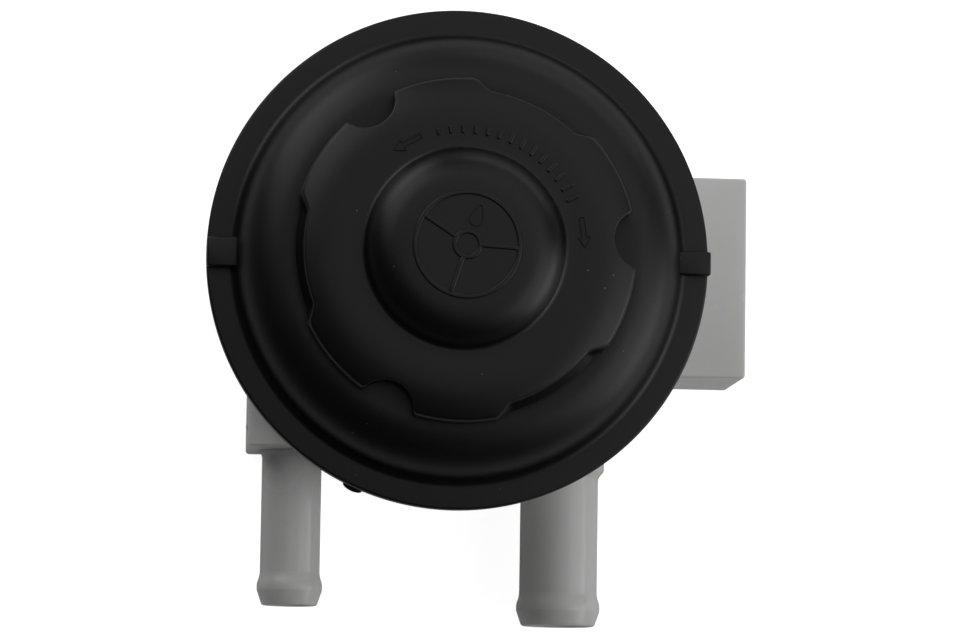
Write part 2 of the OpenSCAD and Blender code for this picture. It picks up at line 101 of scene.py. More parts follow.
def solid_of_turn(points, steps):
    """A closed solid from a closed loop of (radius, height) points, turned about Z."""
    bm = bmesh.new()
    loop = [bm.verts.new((r, 0, z)) for r, z in points]
    pairs = zip(loop, loop[1:] + loop[:1])
    edges = [bm.edges.new((a, b)) for a, b in pairs if a.co.x > 0 or b.co.x > 0]
    bmesh.ops.spin(bm, geom=loop + edges, cent=(0, 0, 0), axis=(0, 0, 1), dvec=(0, 0, 0),
                   angle=2 * math.pi, steps=steps, use_merge=True, use_duplicate=False)
    bmesh.ops.remove_doubles(bm, verts=bm.verts, dist=1e-7)
    bmesh.ops.recalc_face_normals(bm, faces=bm.faces)
    return bm


def bevel_edges(bm, edges, width, segments):
    bmesh.ops.bevel(bm, geom=edges, offset=width, segments=segments, profile=0.5,
                    affect="EDGES", material=-1, clamp_overlap=True)


def round_rings(bm, r, z, width, segments=4):
    """Bevels the ring edges of a turned solid that lie at one radius and height."""
    near = 0.02 * MM

    def on_ring(v):
        return abs(math.hypot(v.co.x, v.co.y) - r) < near and abs(v.co.z - z) < near

    bevel_edges(bm, [e for e in bm.edges if all(on_ring(v) for v in e.verts)], width, segments)


def block(low, high, edge=0, segments=3):
    """A box between two corners with rounded edges."""
    bm = bmesh.new()
    bmesh.ops.create_cube(bm, size=1)
    bmesh.ops.scale(bm, vec=Vector(high) - Vector(low), verts=bm.verts)
    bmesh.ops.translate(bm, vec=(Vector(low) + Vector(high)) / 2, verts=bm.verts)
    if edge:
        bevel_edges(bm, bm.edges, edge, segments)
    return bm


def put(bm, matrix):
    bmesh.ops.transform(bm, matrix=matrix, verts=bm.verts)
    return bm


def turned(degrees):
    return Matrix.Rotation(math.radians(degrees), 4, "Z")


def join(*parts):
    """Joins several bmeshes into the first one."""
    first = parts[0]
    for other in parts[1:]:
        mesh = bpy.data.meshes.new("part")
        other.to_mesh(mesh)
        first.from_mesh(mesh)
        bpy.data.meshes.remove(mesh)
        other.free()
    return first


def screw_ridge(root_r, crest_r, start_z, turns):
    """A screw thread's ridge, with run-outs at both ends."""
    steps_per_turn = 72
    root_w, crest_w = 1.5 * MM, 0.6 * MM
    section = ((root_r, -root_w / 2), (crest_r, -crest_w / 2), (crest_r, crest_w / 2), (root_r, root_w / 2))
    bm = bmesh.new()
    loop = [bm.verts.new((r, 0, start_z + z)) for r, z in section]
    edges = [bm.edges.new((a, b)) for a, b in zip(loop, loop[1:] + loop[:1])]
    bmesh.ops.spin(bm, geom=loop + edges, cent=(0, 0, 0), axis=(0, 0, 1),
                   dvec=(0, 0, THREAD_LEAD / steps_per_turn), angle=2 * math.pi * turns,
                   steps=int(steps_per_turn * turns))
    bmesh.ops.holes_fill(bm, edges=[e for e in bm.edges if e.is_boundary], sides=0)
    length = THREAD_LEAD * turns
    run_out = THREAD_LEAD * 0.1
    for v in bm.verts:
        r = math.hypot(v.co.x, v.co.y)
        done = v.co.z - start_z
        share = min(1.0, max(0.0, min(done + crest_w, length - done + crest_w) / run_out))
        wanted = root_r + (r - root_r) * share
        v.co.x *= wanted / r
        v.co.y *= wanted / r
    bmesh.ops.recalc_face_normals(bm, faces=bm.faces)
    return bm


def outline_relief(points, line_w, height):
    """A raised line that follows a closed outline, lying on z = 0."""
    bm = bmesh.new()
    face = bm.faces.new([bm.verts.new((x, y, 0)) for x, y in points])
    rim = bmesh.ops.inset_region(bm, faces=[face], thickness=line_w, use_boundary=True,
                                  use_even_offset=True)["faces"]
    bmesh.ops.delete(bm, geom=[face], context="FACES_ONLY")
    raised = bmesh.ops.extrude_face_region(bm, geom=rim, use_keep_orig=True)["geom"]
    upper = [g for g in raised if isinstance(g, bmesh.types.BMVert)]
    bmesh.ops.translate(bm, vec=(0, 0, height), verts=upper)
    bmesh.ops.recalc_face_normals(bm, faces=bm.faces)
    return bm


def mark_sharp(bm, sharp_angle):
    for f in bm.faces:
        f.smooth = True
    for e in bm.edges:
        e.smooth = len(e.link_faces) == 2 and e.calc_face_angle(0) < math.radians(sharp_angle)


def mesh_object(name, bm, sharp_angle=35):
    """Makes an object of the bmesh, smooth apart from edges sharper than the angle."""
    mark_sharp(bm, sharp_angle)
    mesh = bpy.data.meshes.new(name)
    bm.to_mesh(mesh)
    bm.free()
    obj = bpy.data.objects.new(name, mesh)
    bpy.context.scene.collection.objects.link(obj)
    return obj


def boolean(obj, tool_mesh, operation):
    """Joins or cuts an object with a bmesh and applies the result."""
    tool = mesh_object("tool", tool_mesh)
    modifier = obj.modifiers.new("join", "BOOLEAN")
    modifier.operation = operation
    modifier.solver = "EXACT"
    modifier.use_self = True
    modifier.object = tool
    bpy.context.view_layer.update()
    evaluated = obj.evaluated_get(bpy.context.evaluated_depsgraph_get())
    result = bpy.data.meshes.new_from_object(evaluated)
    obj.modifiers.clear()
    obj.data = result
    bpy.data.objects.remove(tool)


def finish_piece(obj, body, material, replaced=()):
    obj.data.materials.clear()
    obj.data.materials.append(material)
    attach(obj, body)
    for node in replaced:
        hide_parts(node)
    return obj


# Materials

def new_group(name, inputs, outputs):
    group = bpy.data.node_groups.new(name, "ShaderNodeTree")
    for label, kind, value in inputs:
        socket = group.interface.new_socket(name=label, in_out="INPUT", socket_type=kind)
        if value is not None:
            socket.default_value = value
    for label, kind in outputs:
        group.interface.new_socket(name=label, in_out="OUTPUT", socket_type=kind)
    return group, group.nodes.new("NodeGroupInput"), group.nodes.new("NodeGroupOutput")


def math_node(tree, operation, *values):
    node = tree.nodes.new("ShaderNodeMath")
    node.operation = operation
    for socket, value in zip(node.inputs, values):
        if isinstance(value, (int, float)):
            socket.default_value = value
        else:
            tree.links.new(value, socket)
    return node.outputs[0]


def noise(tree, vector, scale, detail=2.0, roughness=0.5):
    node = tree.nodes.new("ShaderNodeTexNoise")
    node.inputs["Scale"].default_value = scale
    node.inputs["Detail"].default_value = detail
    node.inputs["Roughness"].default_value = roughness
    tree.links.new(vector, node.inputs["Vector"])
    return node.outputs["Fac"]


def build_mould_grain():
    """The fine spark-eroded grain and faint flow marks of a moulded surface, as a height."""
    group, start, end = new_group("mould_grain",
                                  [("Vector", "NodeSocketVector", None), ("Grain", "NodeSocketFloat", 1.0)],
                                  [("Height", "NodeSocketFloat"), ("Patch", "NodeSocketFloat")])
    fine = noise(group, start.outputs["Vector"], 3200, 3.0, 0.6)
    broad = noise(group, start.outputs["Vector"], 45, 2.0, 0.5)
    fine_h = math_node(group, "MULTIPLY", fine, start.outputs["Grain"])
    group.links.new(math_node(group, "ADD", fine_h, broad), end.inputs["Height"])
    group.links.new(broad, end.inputs["Patch"])
    return group


def build_dust():
    """Sparse pale specks, as a mask."""
    group, start, end = new_group("dust",
                                  [("Vector", "NodeSocketVector", None), ("Size", "NodeSocketFloat", 0.1)],
                                  [("Specks", "NodeSocketFloat")])
    cells = group.nodes.new("ShaderNodeTexVoronoi")
    cells.inputs["Scale"].default_value = 330
    group.links.new(start.outputs["Vector"], cells.inputs["Vector"])
    rare = math_node(group, "GREATER_THAN", noise(group, start.outputs["Vector"], 130, 0.0), 0.62)
    near = math_node(group, "LESS_THAN", cells.outputs["Distance"], start.outputs["Size"])
    group.links.new(math_node(group, "MULTIPLY", near, rare), end.inputs["Specks"])
    return group


MOULD_GRAIN = build_mould_grain()
DUST = build_dust()


def place_group(tree, group, vector, values):
    node = tree.nodes.new("ShaderNodeGroup")
    node.node_tree = group
    tree.links.new(vector, node.inputs["Vector"])
    for label, value in values.items():
        node.inputs[label].default_value = value
    return node


def mix_colour(tree, mask, a, b):
    """Goes from colour a to colour b by the mask; each is a plain colour or a socket."""
    node = tree.nodes.new("ShaderNodeMix")
    node.data_type = "RGBA"
    tree.links.new(mask, node.inputs["Factor"])
    for socket, value in ((node.inputs[6], a), (node.inputs[7], b)):
        if isinstance(value, tuple):
            socket.default_value = (*value, 1)
        else:
            tree.links.new(value, socket)
    return node.outputs[2]


def moulded_plastic(name, dark, pale, roughness, grain=1.0, bump=0.06, specks=None, speck_colour=None):
    """A moulded plastic: colour and gloss vary softly in patches over a fine grain."""
    material = bpy.data.materials.new(name)
    material.use_nodes = True
    tree = material.node_tree
    shader = tree.nodes["Principled BSDF"]
    place = tree.nodes.new("ShaderNodeTexCoord").outputs["Object"]
    surface = place_group(tree, MOULD_GRAIN, place, {"Grain": grain})
    colour = mix_colour(tree, surface.outputs["Patch"], dark, pale)
    if specks:
        dust = place_group(tree, DUST, place, {"Size": specks})
        colour = mix_colour(tree, dust.outputs["Specks"], colour, speck_colour)
    tree.links.new(colour, shader.inputs["Base Color"])
    gloss = math_node(tree, "MULTIPLY_ADD", surface.outputs["Patch"], 0.12, roughness - 0.06)
    tree.links.new(gloss, shader.inputs["Roughness"])
    bump_node = tree.nodes.new("ShaderNodeBump")
    bump_node.inputs["Strength"].default_value = bump
    bump_node.inputs["Distance"].default_value = 0.2 * MM
    tree.links.new(surface.outputs["Height"], bump_node.inputs["Height"])
    tree.links.new(bump_node.outputs["Normal"], shader.inputs["Normal"])
    return material, shader


def natural_nylon():
    material, shader = moulded_plastic("natural_nylon", (0.77, 0.775, 0.755), (0.84, 0.845, 0.835), 0.25,
                                       grain=0.5, bump=0.04)
    shader.inputs["Subsurface Weight"].default_value = 0.6
    shader.inputs["Subsurface Radius"].default_value = (1.0, 0.95, 0.75)
    shader.inputs["Subsurface Scale"].default_value = 2.5 * MM
    return material


DEEP_BLACK = (0.002, 0.002, 0.0026)
SOFT_BLACK = (0.004, 0.004, 0.005)
COVER_BLACK = moulded_plastic("black_cover_plastic", DEEP_BLACK, SOFT_BLACK, 0.42,
                              specks=0.05, speck_colour=(0.08, 0.08, 0.08))[0]
CAP_BLACK = moulded_plastic("black_cap_plastic", DEEP_BLACK, SOFT_BLACK, 0.38,
                            grain=0.7, specks=0.06, speck_colour=(0.11, 0.11, 0.11))[0]
NYLON = natural_nylon()
GREY = moulded_plastic("grey_plastic", (0.05, 0.055, 0.06), (0.08, 0.085, 0.09), 0.45)[0]
WHITE = moulded_plastic("white_plastic", (0.62, 0.62, 0.58), (0.72, 0.72, 0.69), 0.45)[0]
RUBBER = moulded_plastic("seal_rubber", (0.008, 0.008, 0.008), (0.014, 0.014, 0.014), 0.7)[0]
FELT = moulded_plastic("felt", (0.55, 0.55, 0.52), (0.7, 0.7, 0.67), 0.95, grain=3.0, bump=0.4)[0]
MESH = moulded_plastic("screen_mesh", (0.6, 0.6, 0.55), (0.7, 0.7, 0.66), 0.8, grain=2.0, bump=0.3)[0]
FERRITE = moulded_plastic("ferrite", (0.03, 0.028, 0.028), (0.06, 0.055, 0.055), 0.6, grain=2.0)[0]


# Cover: a turned moulding with a flange, a dome and the filler neck

LEFT_TAB_W = 5.8 * MM
RIGHT_TAB_W = 4.6 * MM
TAB_H = 1.7 * MM
RIGHT_TAB_R = FLANGE_R + 0.35 * MM


def dome_curve(inset):
    """The dome's quarter ellipse from its top to its foot, inset by the given depth."""
    wide, high = DOME_R - DOME_TOP_R - inset, DOME_Z - FLANGE_Z - inset
    angles = [math.radians(a) for a in range(90, 5, -6)]
    return [(DOME_TOP_R + wide * math.cos(a), FLANGE_Z + high * math.sin(a)) for a in angles]


def cover():
    inner_r = DOME_R - WALL
    skirt_z = FLANGE_Z - 4 * MM
    inside = dome_curve(WALL)
    points = [(inner_r, WELD_Z), (FLANGE_R, WELD_Z), (FLANGE_R, FLANGE_Z), (DOME_FOOT_R, FLANGE_Z)]
    points += dome_curve(0)[::-1]
    points += [(NECK_R, DOME_Z), (NECK_R, NECK_TOP_Z), (NECK_BORE_R, NECK_TOP_Z), (NECK_BORE_R, skirt_z),
               (NECK_R, skirt_z), (NECK_R, inside[0][1])] + inside
    bm = solid_of_turn(points, 240)
    round_rings(bm, DOME_FOOT_R, FLANGE_Z, 0.5 * MM, 4)
    round_rings(bm, FLANGE_R, FLANGE_Z, 0.5 * MM, 4)
    round_rings(bm, FLANGE_R, WELD_Z, 0.3 * MM, 3)
    round_rings(bm, NECK_R, NECK_TOP_Z, 0.5 * MM, 3)
    round_rings(bm, NECK_BORE_R, NECK_TOP_Z, 0.4 * MM, 3)
    thread = screw_ridge(NECK_BORE_R + THREAD_SUNK, NECK_THREAD_CREST_R, NECK_THREAD_Z, THREAD_TURNS)
    return join(bm, thread, *flange_tabs(), weld_flash(), *hold_down_legs())


def flange_tabs():
    """Two tabs on the flange, and the bulge of the flange's edge beside the right one."""
    start_r = DOME_R - WALL / 2
    sunk_z, top_z = FLANGE_Z - 0.5 * MM, FLANGE_Z + TAB_H
    edge = 0.45 * MM
    left = block((-FLANGE_R + 0.1 * MM, -LEFT_TAB_W / 2, sunk_z), (-start_r, LEFT_TAB_W / 2, top_z), edge)
    right = block((start_r, -RIGHT_TAB_W / 2, sunk_z), (RIGHT_TAB_R, RIGHT_TAB_W / 2, top_z), edge)
    bulge_w = RIGHT_TAB_W - 1.4 * MM
    bulge = block((FLANGE_R - 3 * MM, -bulge_w / 2, WELD_Z + 0.1 * MM),
                  (RIGHT_TAB_R, bulge_w / 2, FLANGE_Z - 0.1 * MM), 0.35 * MM)
    return left, right, bulge


def weld_flash():
    """A small bead that the weld squeezed out at the flange's edge."""
    angle = 246.3
    bm = bmesh.new()
    bmesh.ops.create_uvsphere(bm, u_segments=16, v_segments=10, radius=1 * MM)
    bmesh.ops.scale(bm, vec=(0.8, 2.0, 0.5), verts=bm.verts)
    bmesh.ops.translate(bm, vec=(FLANGE_R - 0.05 * MM, 0, WELD_Z), verts=bm.verts)
    return put(bm, turned(angle))


def hold_down_legs():
    """Three legs under the dome that hold the baffle down."""
    inner_r, outer_r, half_w = 34 * MM, 37 * MM, 1 * MM
    low_z, top_z = 84.3 * MM, 99.5 * MM
    legs = []
    for angle in (60, 180, 300):
        leg = block((inner_r, -half_w, low_z), (outer_r, half_w, top_z))
        legs.append(put(leg, turned(angle)))
    return legs


# Cap: turned, then drawn in at its finger notches and long hollows

NOTCH_ANGLE = 4.5
NOTCH_R = 5.5 * MM
NOTCH_BOTTOM = 28.3 * MM
HOLLOW_BOTTOM = 30.3 * MM
HOLLOW_HALF_ANGLE = 16
HOLLOW_RAMP = 8
LIP_Z = RIM_Z + 2.5 * MM
LIP_OUT = 1.3 * MM
WARP_R = 26 * MM


def smooth_step(x):
    x = min(1.0, max(0.0, x))
    return x * x * (3 - 2 * x)


def smooth_min(a, b, k):
    h = max(k - abs(a - b), 0.0) / k
    return min(a, b) - h * h * k / 4


def from_nearest(angle, first):
    """Degrees from the nearest of three places a third of a turn apart."""
    return abs((angle - first + 60) % 120 - 60)


def rim_radius(angle, lip):
    """The rim's radius at an angle in degrees; the low lip stands out in the hollows."""
    centre = NOTCH_BOTTOM + NOTCH_R
    off = math.radians(from_nearest(angle, NOTCH_ANGLE))
    widest = math.asin(NOTCH_R / centre)
    inside = min(off, widest)
    across = centre * math.sin(inside)
    notch = centre * math.cos(inside) - math.sqrt(max(NOTCH_R ** 2 - across ** 2, 0))
    past_notch = 90 * MM
    notch += (off - widest) * past_notch if off > widest else 0
    bottom = HOLLOW_BOTTOM + (LIP_OUT if lip else 0)
    ramp = (from_nearest(angle, NOTCH_ANGLE + 60) - HOLLOW_HALF_ANGLE) / HOLLOW_RAMP
    hollow = bottom + (CAP_R - bottom) * smooth_step(ramp)
    return smooth_min(smooth_min(CAP_R, notch, 1.3 * MM), hollow, 0.5 * MM)


def ring_top(r):
    """Height of the cap's flat ring, which falls away towards the rim."""
    return RING_Z - RING_DROP * max(0, (r - RING_R) / (CAP_R - RING_R)) ** 2.2


def draw_in(bm):
    """Moves the cap's outer part inward to follow its lobed rim."""
    for v in bm.verts:
        r = math.hypot(v.co.x, v.co.y)
        if r <= WARP_R or v.co.z < RIM_Z - MM:
            continue
        rim = rim_radius(math.degrees(math.atan2(v.co.y, v.co.x)), v.co.z < LIP_Z)
        new_r = WARP_R + (r - WARP_R) * (rim - WARP_R) / (CAP_R - WARP_R)
        lift = min(1.0, max(0.0, (v.co.z - LIP_Z) / (RIM_TOP_Z - LIP_Z)))
        v.co.z += lift * (ring_top(new_r) - ring_top(r))
        v.co.x *= new_r / r
        v.co.y *= new_r / r


def boss_top(r):
    """Height of the cap's domed middle, which gets steeper towards its foot."""
    return BOSS_Z - BOSS_H * (r / BOSS_R) ** 7


def cap():
    inner_r = PLUG_R - PLUG_WALL
    hollow_r = NOTCH_BOTTOM - 1.8 * MM
    boss_in = BOSS_R - 4 * MM
    groove_low = PLUG_END_Z + 1 * MM
    groove_high = groove_low + 3 * MM
    groove_r = inner_r + 1 * MM
    rim_r = CAP_R - 0.05 * MM
    skirt_r = CAP_R - 1.8 * MM
    points = [(share * BOSS_R, boss_top(share * BOSS_R))
              for share in (0, 0.4, 0.55, 0.64, 0.71, 0.77, 0.82, 0.86, 0.9, 0.93, 0.96, 0.985, 1)]
    points += [(r * MM, ring_top(r * MM)) for r in (21.5, 23, 24.5, 26.2, 27.5, 28.7, 29.8, 30.8, 31.7)]
    points += [(rim_r, ring_top(rim_r)), (rim_r, LIP_Z + 0.05 * MM), (CAP_R, LIP_Z - 0.05 * MM),
               (CAP_R, RIM_Z), (skirt_r, RIM_Z), (skirt_r, RIM_TOP_Z - 1.8 * MM), (hollow_r, CEILING_Z),
               (PLUG_R, CEILING_Z), (PLUG_R, PLUG_END_Z), (inner_r, PLUG_END_Z), (inner_r, groove_low),
               (groove_r, groove_low), (groove_r, groove_high), (inner_r, groove_high),
               (inner_r, CEILING_Z), (boss_in, CEILING_Z), (boss_in, RING_Z + 0.5 * MM),
               (0, BOSS_Z - 2.6 * MM)]
    bm = solid_of_turn(points, 600)
    round_rings(bm, BOSS_R, RING_Z, 0.5 * MM, 4)
    round_rings(bm, rim_r, ring_top(rim_r), 0.75 * MM, 6)
    draw_in(bm)
    thread = screw_ridge(PLUG_R - THREAD_SUNK, PLUG_THREAD_CREST_R, PLUG_THREAD_Z, THREAD_TURNS)
    return join(bm, thread)


RELIEF_H = 0.35 * MM
SUNK = 0.6 * MM
ARROW_R = 22.4 * MM


def drape(bm, height):
    """Lowers or lifts a flat relief onto a surface of turn."""
    for v in bm.verts:
        v.co.z += height(math.hypot(v.co.x, v.co.y))
    return bm


def raised_ring(r, line_w):
    bm = solid_of_turn([(r - line_w / 2, -SUNK), (r + line_w / 2, -SUNK),
                        (r + line_w / 2, RELIEF_H), (r - line_w / 2, RELIEF_H)], 96)
    round_rings(bm, r + line_w / 2, RELIEF_H, 0.15 * MM, 2)
    round_rings(bm, r - line_w / 2, RELIEF_H, 0.15 * MM, 2)
    return bm


def raised_bar(x0, x1, line_w):
    bm = block((x0, -line_w / 2, -SUNK), (x1, line_w / 2, RELIEF_H), 0.15 * MM, 2)
    along = [e for e in bm.edges if abs(e.verts[0].co.x - e.verts[1].co.x) > 0.5 * (x1 - x0)]
    bmesh.ops.subdivide_edges(bm, edges=along, cuts=5)
    return bm


def fluid_symbol():
    """A steering wheel with a drop, raised on the cap's middle."""
    wheel_r, hub_r, line_w = 9.8 * MM, 2.4 * MM, 0.8 * MM
    drop_y, drop_line_w = 4.9 * MM, 0.45 * MM
    wheel_turn = -18
    parts = [raised_ring(wheel_r, line_w), raised_ring(hub_r, line_w)]
    for angle in (15, 165, 270):
        parts.append(put(raised_bar(hub_r, wheel_r, line_w), turned(angle)))
    drop_r = 1.25 * MM
    tip = 2.9 * MM
    outline = [(drop_r * math.cos(a), drop_r * math.sin(a) if a > math.pi or math.sin(a) < 0.35
                else drop_r * math.sin(a) + (tip - drop_r) * max(0, math.sin(a) - 0.35) ** 2 / 0.4225)
               for a in (math.radians(d) for d in range(0, 360, 15))]
    drop = outline_relief(outline, drop_line_w, RELIEF_H + SUNK)
    bmesh.ops.translate(drop, vec=(0, drop_y, -SUNK), verts=drop.verts)
    parts.append(drop)
    return drape(put(join(*parts), turned(wheel_turn)), boss_top)


def turn_arrow(angle, points_ccw):
    """An arrow on the cap's flat ring that shows a way to turn it."""
    side = 1 if points_ccw else -1
    half_l, half_w, head_l, head_w = 2.9 * MM, 0.45 * MM, 2 * MM, 1.15 * MM
    neck = half_l - head_l
    outline = [(-half_w, -half_l), (half_w, -half_l), (half_w, neck), (head_w, neck),
               (0, half_l), (-head_w, neck), (-half_w, neck)]
    bm = outline_relief(outline, 0.26 * MM, RELIEF_H + SUNK)
    bmesh.ops.scale(bm, vec=(1, side, 1), verts=bm.verts)
    bmesh.ops.recalc_face_normals(bm, faces=bm.faces)
    bmesh.ops.translate(bm, vec=(ARROW_R, 0, RING_Z - SUNK), verts=bm.verts)
    return put(bm, turned(angle))


def turn_marks():
    """Two arrows and a row of raised marks between them that grow towards the closing end."""
    parts = [turn_arrow(120, True), turn_arrow(8.5, False)]
    first, last, count = 104, 26, 14
    for i in range(count):
        share = i / (count - 1)
        half_l = (0.7 + 0.75 * share) * MM
        bar = raised_bar(ARROW_R - half_l, ARROW_R + half_l, 0.7 * MM)
        bmesh.ops.translate(bar, vec=(0, 0, RING_Z), verts=bar.verts)
        parts.append(put(bar, turned(first + (last - first) * share)))
    return join(*parts)


# Tank: one moulding with its nipples, root block, bracket and flange

def along_nipple(bm, side):
    place = Matrix.Translation((side * NIPPLE_X, 0, NIPPLE_Z)) @ Matrix.Rotation(math.pi / 2, 4, "X")
    return put(bm, place)


def nipple(r, end, foot, foot_r):
    """A barbed hose nipple that stands on a foot, with its rounded bead and lead-in."""
    lead, land, ramp, bead = 3.2 * MM, 1.4 * MM, 1.6 * MM, 0.6 * MM
    end_r = r - 0.5 * MM
    points = [(0, 0), (foot_r, 0), (foot_r, foot), (r, foot + foot_r - r), (r, end - lead - land - ramp),
              (r + bead, end - lead - land), (r + bead, end - lead), (end_r, end), (0, end)]
    bm = solid_of_turn(points, 96)
    round_rings(bm, foot_r, foot, 0.4 * MM, 3)
    round_rings(bm, r, foot + foot_r - r, 0.8 * MM, 4)
    round_rings(bm, r, end - lead - land - ramp, 0.8 * MM, 4)
    round_rings(bm, r + bead, end - lead - land, 0.6 * MM, 4)
    round_rings(bm, r + bead, end - lead, 0.25 * MM, 3)
    round_rings(bm, end_r, end, 0.45 * MM, 4)
    return bm


def bore(r, end):
    """The hole of a nipple, with a chamfered mouth, cut past its end."""
    past = 1 * MM
    chamfer = 0.5 * MM
    return solid_of_turn([(0, 0), (r, 0), (r, end - chamfer), (r + chamfer, end),
                          (r + chamfer, end + past), (0, end + past)], 72)


def bracket_box():
    bm = block((TANK_BASE_R - WALL, BRACKET_Y - BRACKET_W / 2, BRACKET_LOW_Z),
               (BRACKET_X, BRACKET_Y + BRACKET_W / 2, BRACKET_Z))
    outer_x = 50 * MM
    upright = [e for e in bm.edges
               if abs(e.verts[0].co.z - e.verts[1].co.z) > MM and e.verts[0].co.x > outer_x]
    bevel_edges(bm, upright, 0.6 * MM, 4)
    top = [e for e in bm.edges if all(v.co.z > BRACKET_Z - 0.1 * MM for v in e.verts)]
    bevel_edges(bm, top, 0.4 * MM, 3)
    return bm


def bracket_pockets():
    """The carrier's slot, the two reliefs beside the tank and the latch window."""
    slot_x = BRACKET_X - BRACKET_WALL - SLOT_T
    web = 2 * MM
    inner_w = BRACKET_W - 2 * BRACKET_WALL
    low_z, top_z = BRACKET_LOW_Z - MM, BRACKET_Z - BRACKET_WALL
    low_y, high_y = BRACKET_Y - inner_w / 2, BRACKET_Y + inner_w / 2
    relief_x0, relief_x1 = 42.6 * MM, slot_x - web
    window_z = BRACKET_LOW_Z + 8 * MM
    return [block((slot_x, low_y, low_z), (slot_x + SLOT_T, high_y, top_z)),
            block((relief_x0, low_y, low_z), (relief_x1, BRACKET_Y - web / 2, top_z)),
            block((relief_x0, BRACKET_Y + web / 2, low_z), (relief_x1, high_y, top_z)),
            block((slot_x + SLOT_T - MM, BRACKET_Y - 5 * MM, window_z),
                  (BRACKET_X + MM, BRACKET_Y + 5 * MM, window_z + 5 * MM))]


def level_bars():
    """Two short raised bars on the tank's side that mark the lowest and highest level."""
    bars = []
    for z in (54 * MM, 68 * MM):
        r = TANK_BASE_R + (TANK_R - TANK_BASE_R) * z / UNDER_FLANGE_Z
        half_angle = math.degrees(8 * MM / r)
        bm = bmesh.new()
        low, high = z - 0.5 * MM, z + 0.5 * MM
        section = ((r - MM, 0, low), (r + 0.6 * MM, 0, low), (r + 0.6 * MM, 0, high), (r - MM, 0, high))
        loop = [bm.verts.new(p) for p in section]
        edges = [bm.edges.new((a, b)) for a, b in zip(loop, loop[1:] + loop[:1])]
        bmesh.ops.spin(bm, geom=loop + edges, cent=(0, 0, 0), axis=(0, 0, 1), dvec=(0, 0, 0),
                       angle=math.radians(2 * half_angle), steps=24)
        bmesh.ops.holes_fill(bm, edges=[e for e in bm.edges if e.is_boundary], sides=0)
        bmesh.ops.recalc_face_normals(bm, faces=bm.faces)
        bars.append(put(bm, turned(-90 - half_angle)))
    return bars


def inner_ribs():
    """Ribs that carry the filter's frame and the baffle, and posts round the magnet."""
    post_r, post_z = 1.6 * MM, 9.1 * MM
    ribs = []
    for angles, reach, top in (((0, 120, 240), 4 * MM, 40 * MM), ((60, 180, 300), 3 * MM, 82 * MM)):
        for angle in angles:
            wall_r = TANK_BASE_R - WALL + (TANK_R - TANK_BASE_R) * top / UNDER_FLANGE_Z
            rib = block((wall_r - reach, -1.2 * MM, FLOOR / 2), (TANK_BASE_R - WALL / 2, 1.2 * MM, top))
            ribs.append(put(rib, turned(angle)))
    for angle in (90, 210, 330):
        post = solid_of_turn([(0, FLOOR / 2), (post_r, FLOOR / 2), (post_r, post_z), (0, post_z)], 24)
        bmesh.ops.translate(post, vec=(10.9 * MM, 0, 0), verts=post.verts)
        put(post, turned(angle))
        bmesh.ops.translate(post, vec=(0, -14 * MM, 0), verts=post.verts)
        ribs.append(post)
    return ribs


def gate_nub():
    """The stub where the moulding was cut from its feed, on the block's side."""
    bm = bmesh.new()
    bmesh.ops.create_uvsphere(bm, u_segments=12, v_segments=8, radius=0.5 * MM)
    bmesh.ops.scale(bm, vec=(0.8, 1.3, 1.3), verts=bm.verts)
    bmesh.ops.translate(bm, vec=(-NIPPLE_X - BLOCK_HALF_W, -26.5 * MM, 14 * MM), verts=bm.verts)
    return bm


def tank():
    flange_r = FLANGE_R - FLANGE_STEP
    body = solid_of_turn([(0, 0), (TANK_BASE_R, 0), (TANK_R, UNDER_FLANGE_Z), (flange_r, UNDER_FLANGE_Z),
                          (flange_r, WELD_Z), (0, WELD_Z)], 200)
    round_rings(body, TANK_BASE_R, 0, 4 * MM, 8)
    round_rings(body, TANK_R, UNDER_FLANGE_Z, 1.2 * MM, 4)
    round_rings(body, flange_r, UNDER_FLANGE_Z, 0.5 * MM, 3)
    obj = mesh_object("tank", body)
    root_block = block((-NIPPLE_X - BLOCK_HALF_W, -BLOCK_END, 1 * MM),
                       (-NIPPLE_X + BLOCK_HALF_W, -13 * MM, 24 * MM), 0.7 * MM)
    supply = nipple(SUPPLY_R, SUPPLY_END, 34.4 * MM, 9.3 * MM)
    back = nipple(RETURN_R, RETURN_END, BLOCK_END + 0.1 * MM, 7 * MM)
    outside = join(root_block, bracket_box(), along_nipple(supply, 1), along_nipple(back, -1),
                   gate_nub(), *level_bars())
    boolean(obj, outside, "UNION")
    inside = solid_of_turn([(0, FLOOR), (TANK_BASE_R - WALL, FLOOR), (TANK_R - WALL, WELD_Z),
                            (TANK_R - WALL, WELD_Z + MM), (0, WELD_Z + MM)], 200)
    round_rings(inside, TANK_BASE_R - WALL, FLOOR, 2.8 * MM, 5)
    hollows = join(inside, along_nipple(bore(SUPPLY_BORE_R, SUPPLY_END), 1),
                   along_nipple(bore(RETURN_BORE_R, RETURN_END), -1), *bracket_pockets())
    boolean(obj, hollows, "DIFFERENCE")
    boolean(obj, join(*inner_ribs()), "UNION")
    bm = bmesh.new()
    bm.from_mesh(obj.data)
    bmesh.ops.remove_doubles(bm, verts=bm.verts, dist=1e-6)
    bmesh.ops.dissolve_degenerate(bm, dist=1e-6, edges=bm.edges)
    mark_sharp(bm, 32)
    bm.to_mesh(obj.data)
    bm.free()
    obj.data.validate()
    weighted = obj.modifiers.new("even_shading", "WEIGHTED_NORMAL")
    weighted.keep_sharp = True
    return obj


# Camera, light and floor

